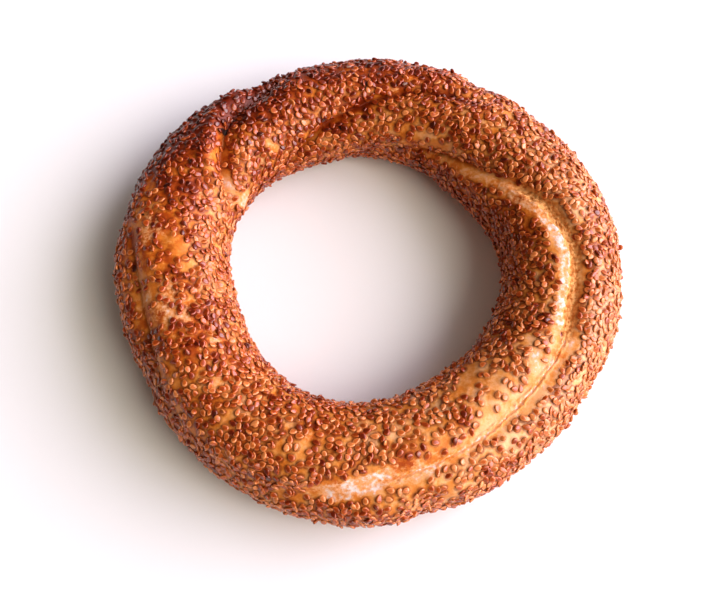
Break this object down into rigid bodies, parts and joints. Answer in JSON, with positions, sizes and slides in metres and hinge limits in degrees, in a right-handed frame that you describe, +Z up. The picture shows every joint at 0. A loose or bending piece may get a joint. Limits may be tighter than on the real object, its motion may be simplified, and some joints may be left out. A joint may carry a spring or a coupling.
{
  "type": "sesame ring bagel",
  "caption": "Ring of twisted bread dough baked in one piece, with a seeded crust, an open middle and a flat underside to rest on.",
  "frame": {"origin": "middle of the ring's footprint, on the surface that it rests on", "axes": "+Z up through the hole, +X along the ring's longest side, +Y across it, away from the thick front of the ring"},
  "size_m": [0.1768, 0.1736, 0.0345],
  "materials": {
    "crust": "glazed golden-brown baked crust",
    "sesame": "toasted, slightly glossy sesame seed"
  },
  "bodies": {
    "root": {"dough_ring": "crust"}
  },
  "joints": []
}
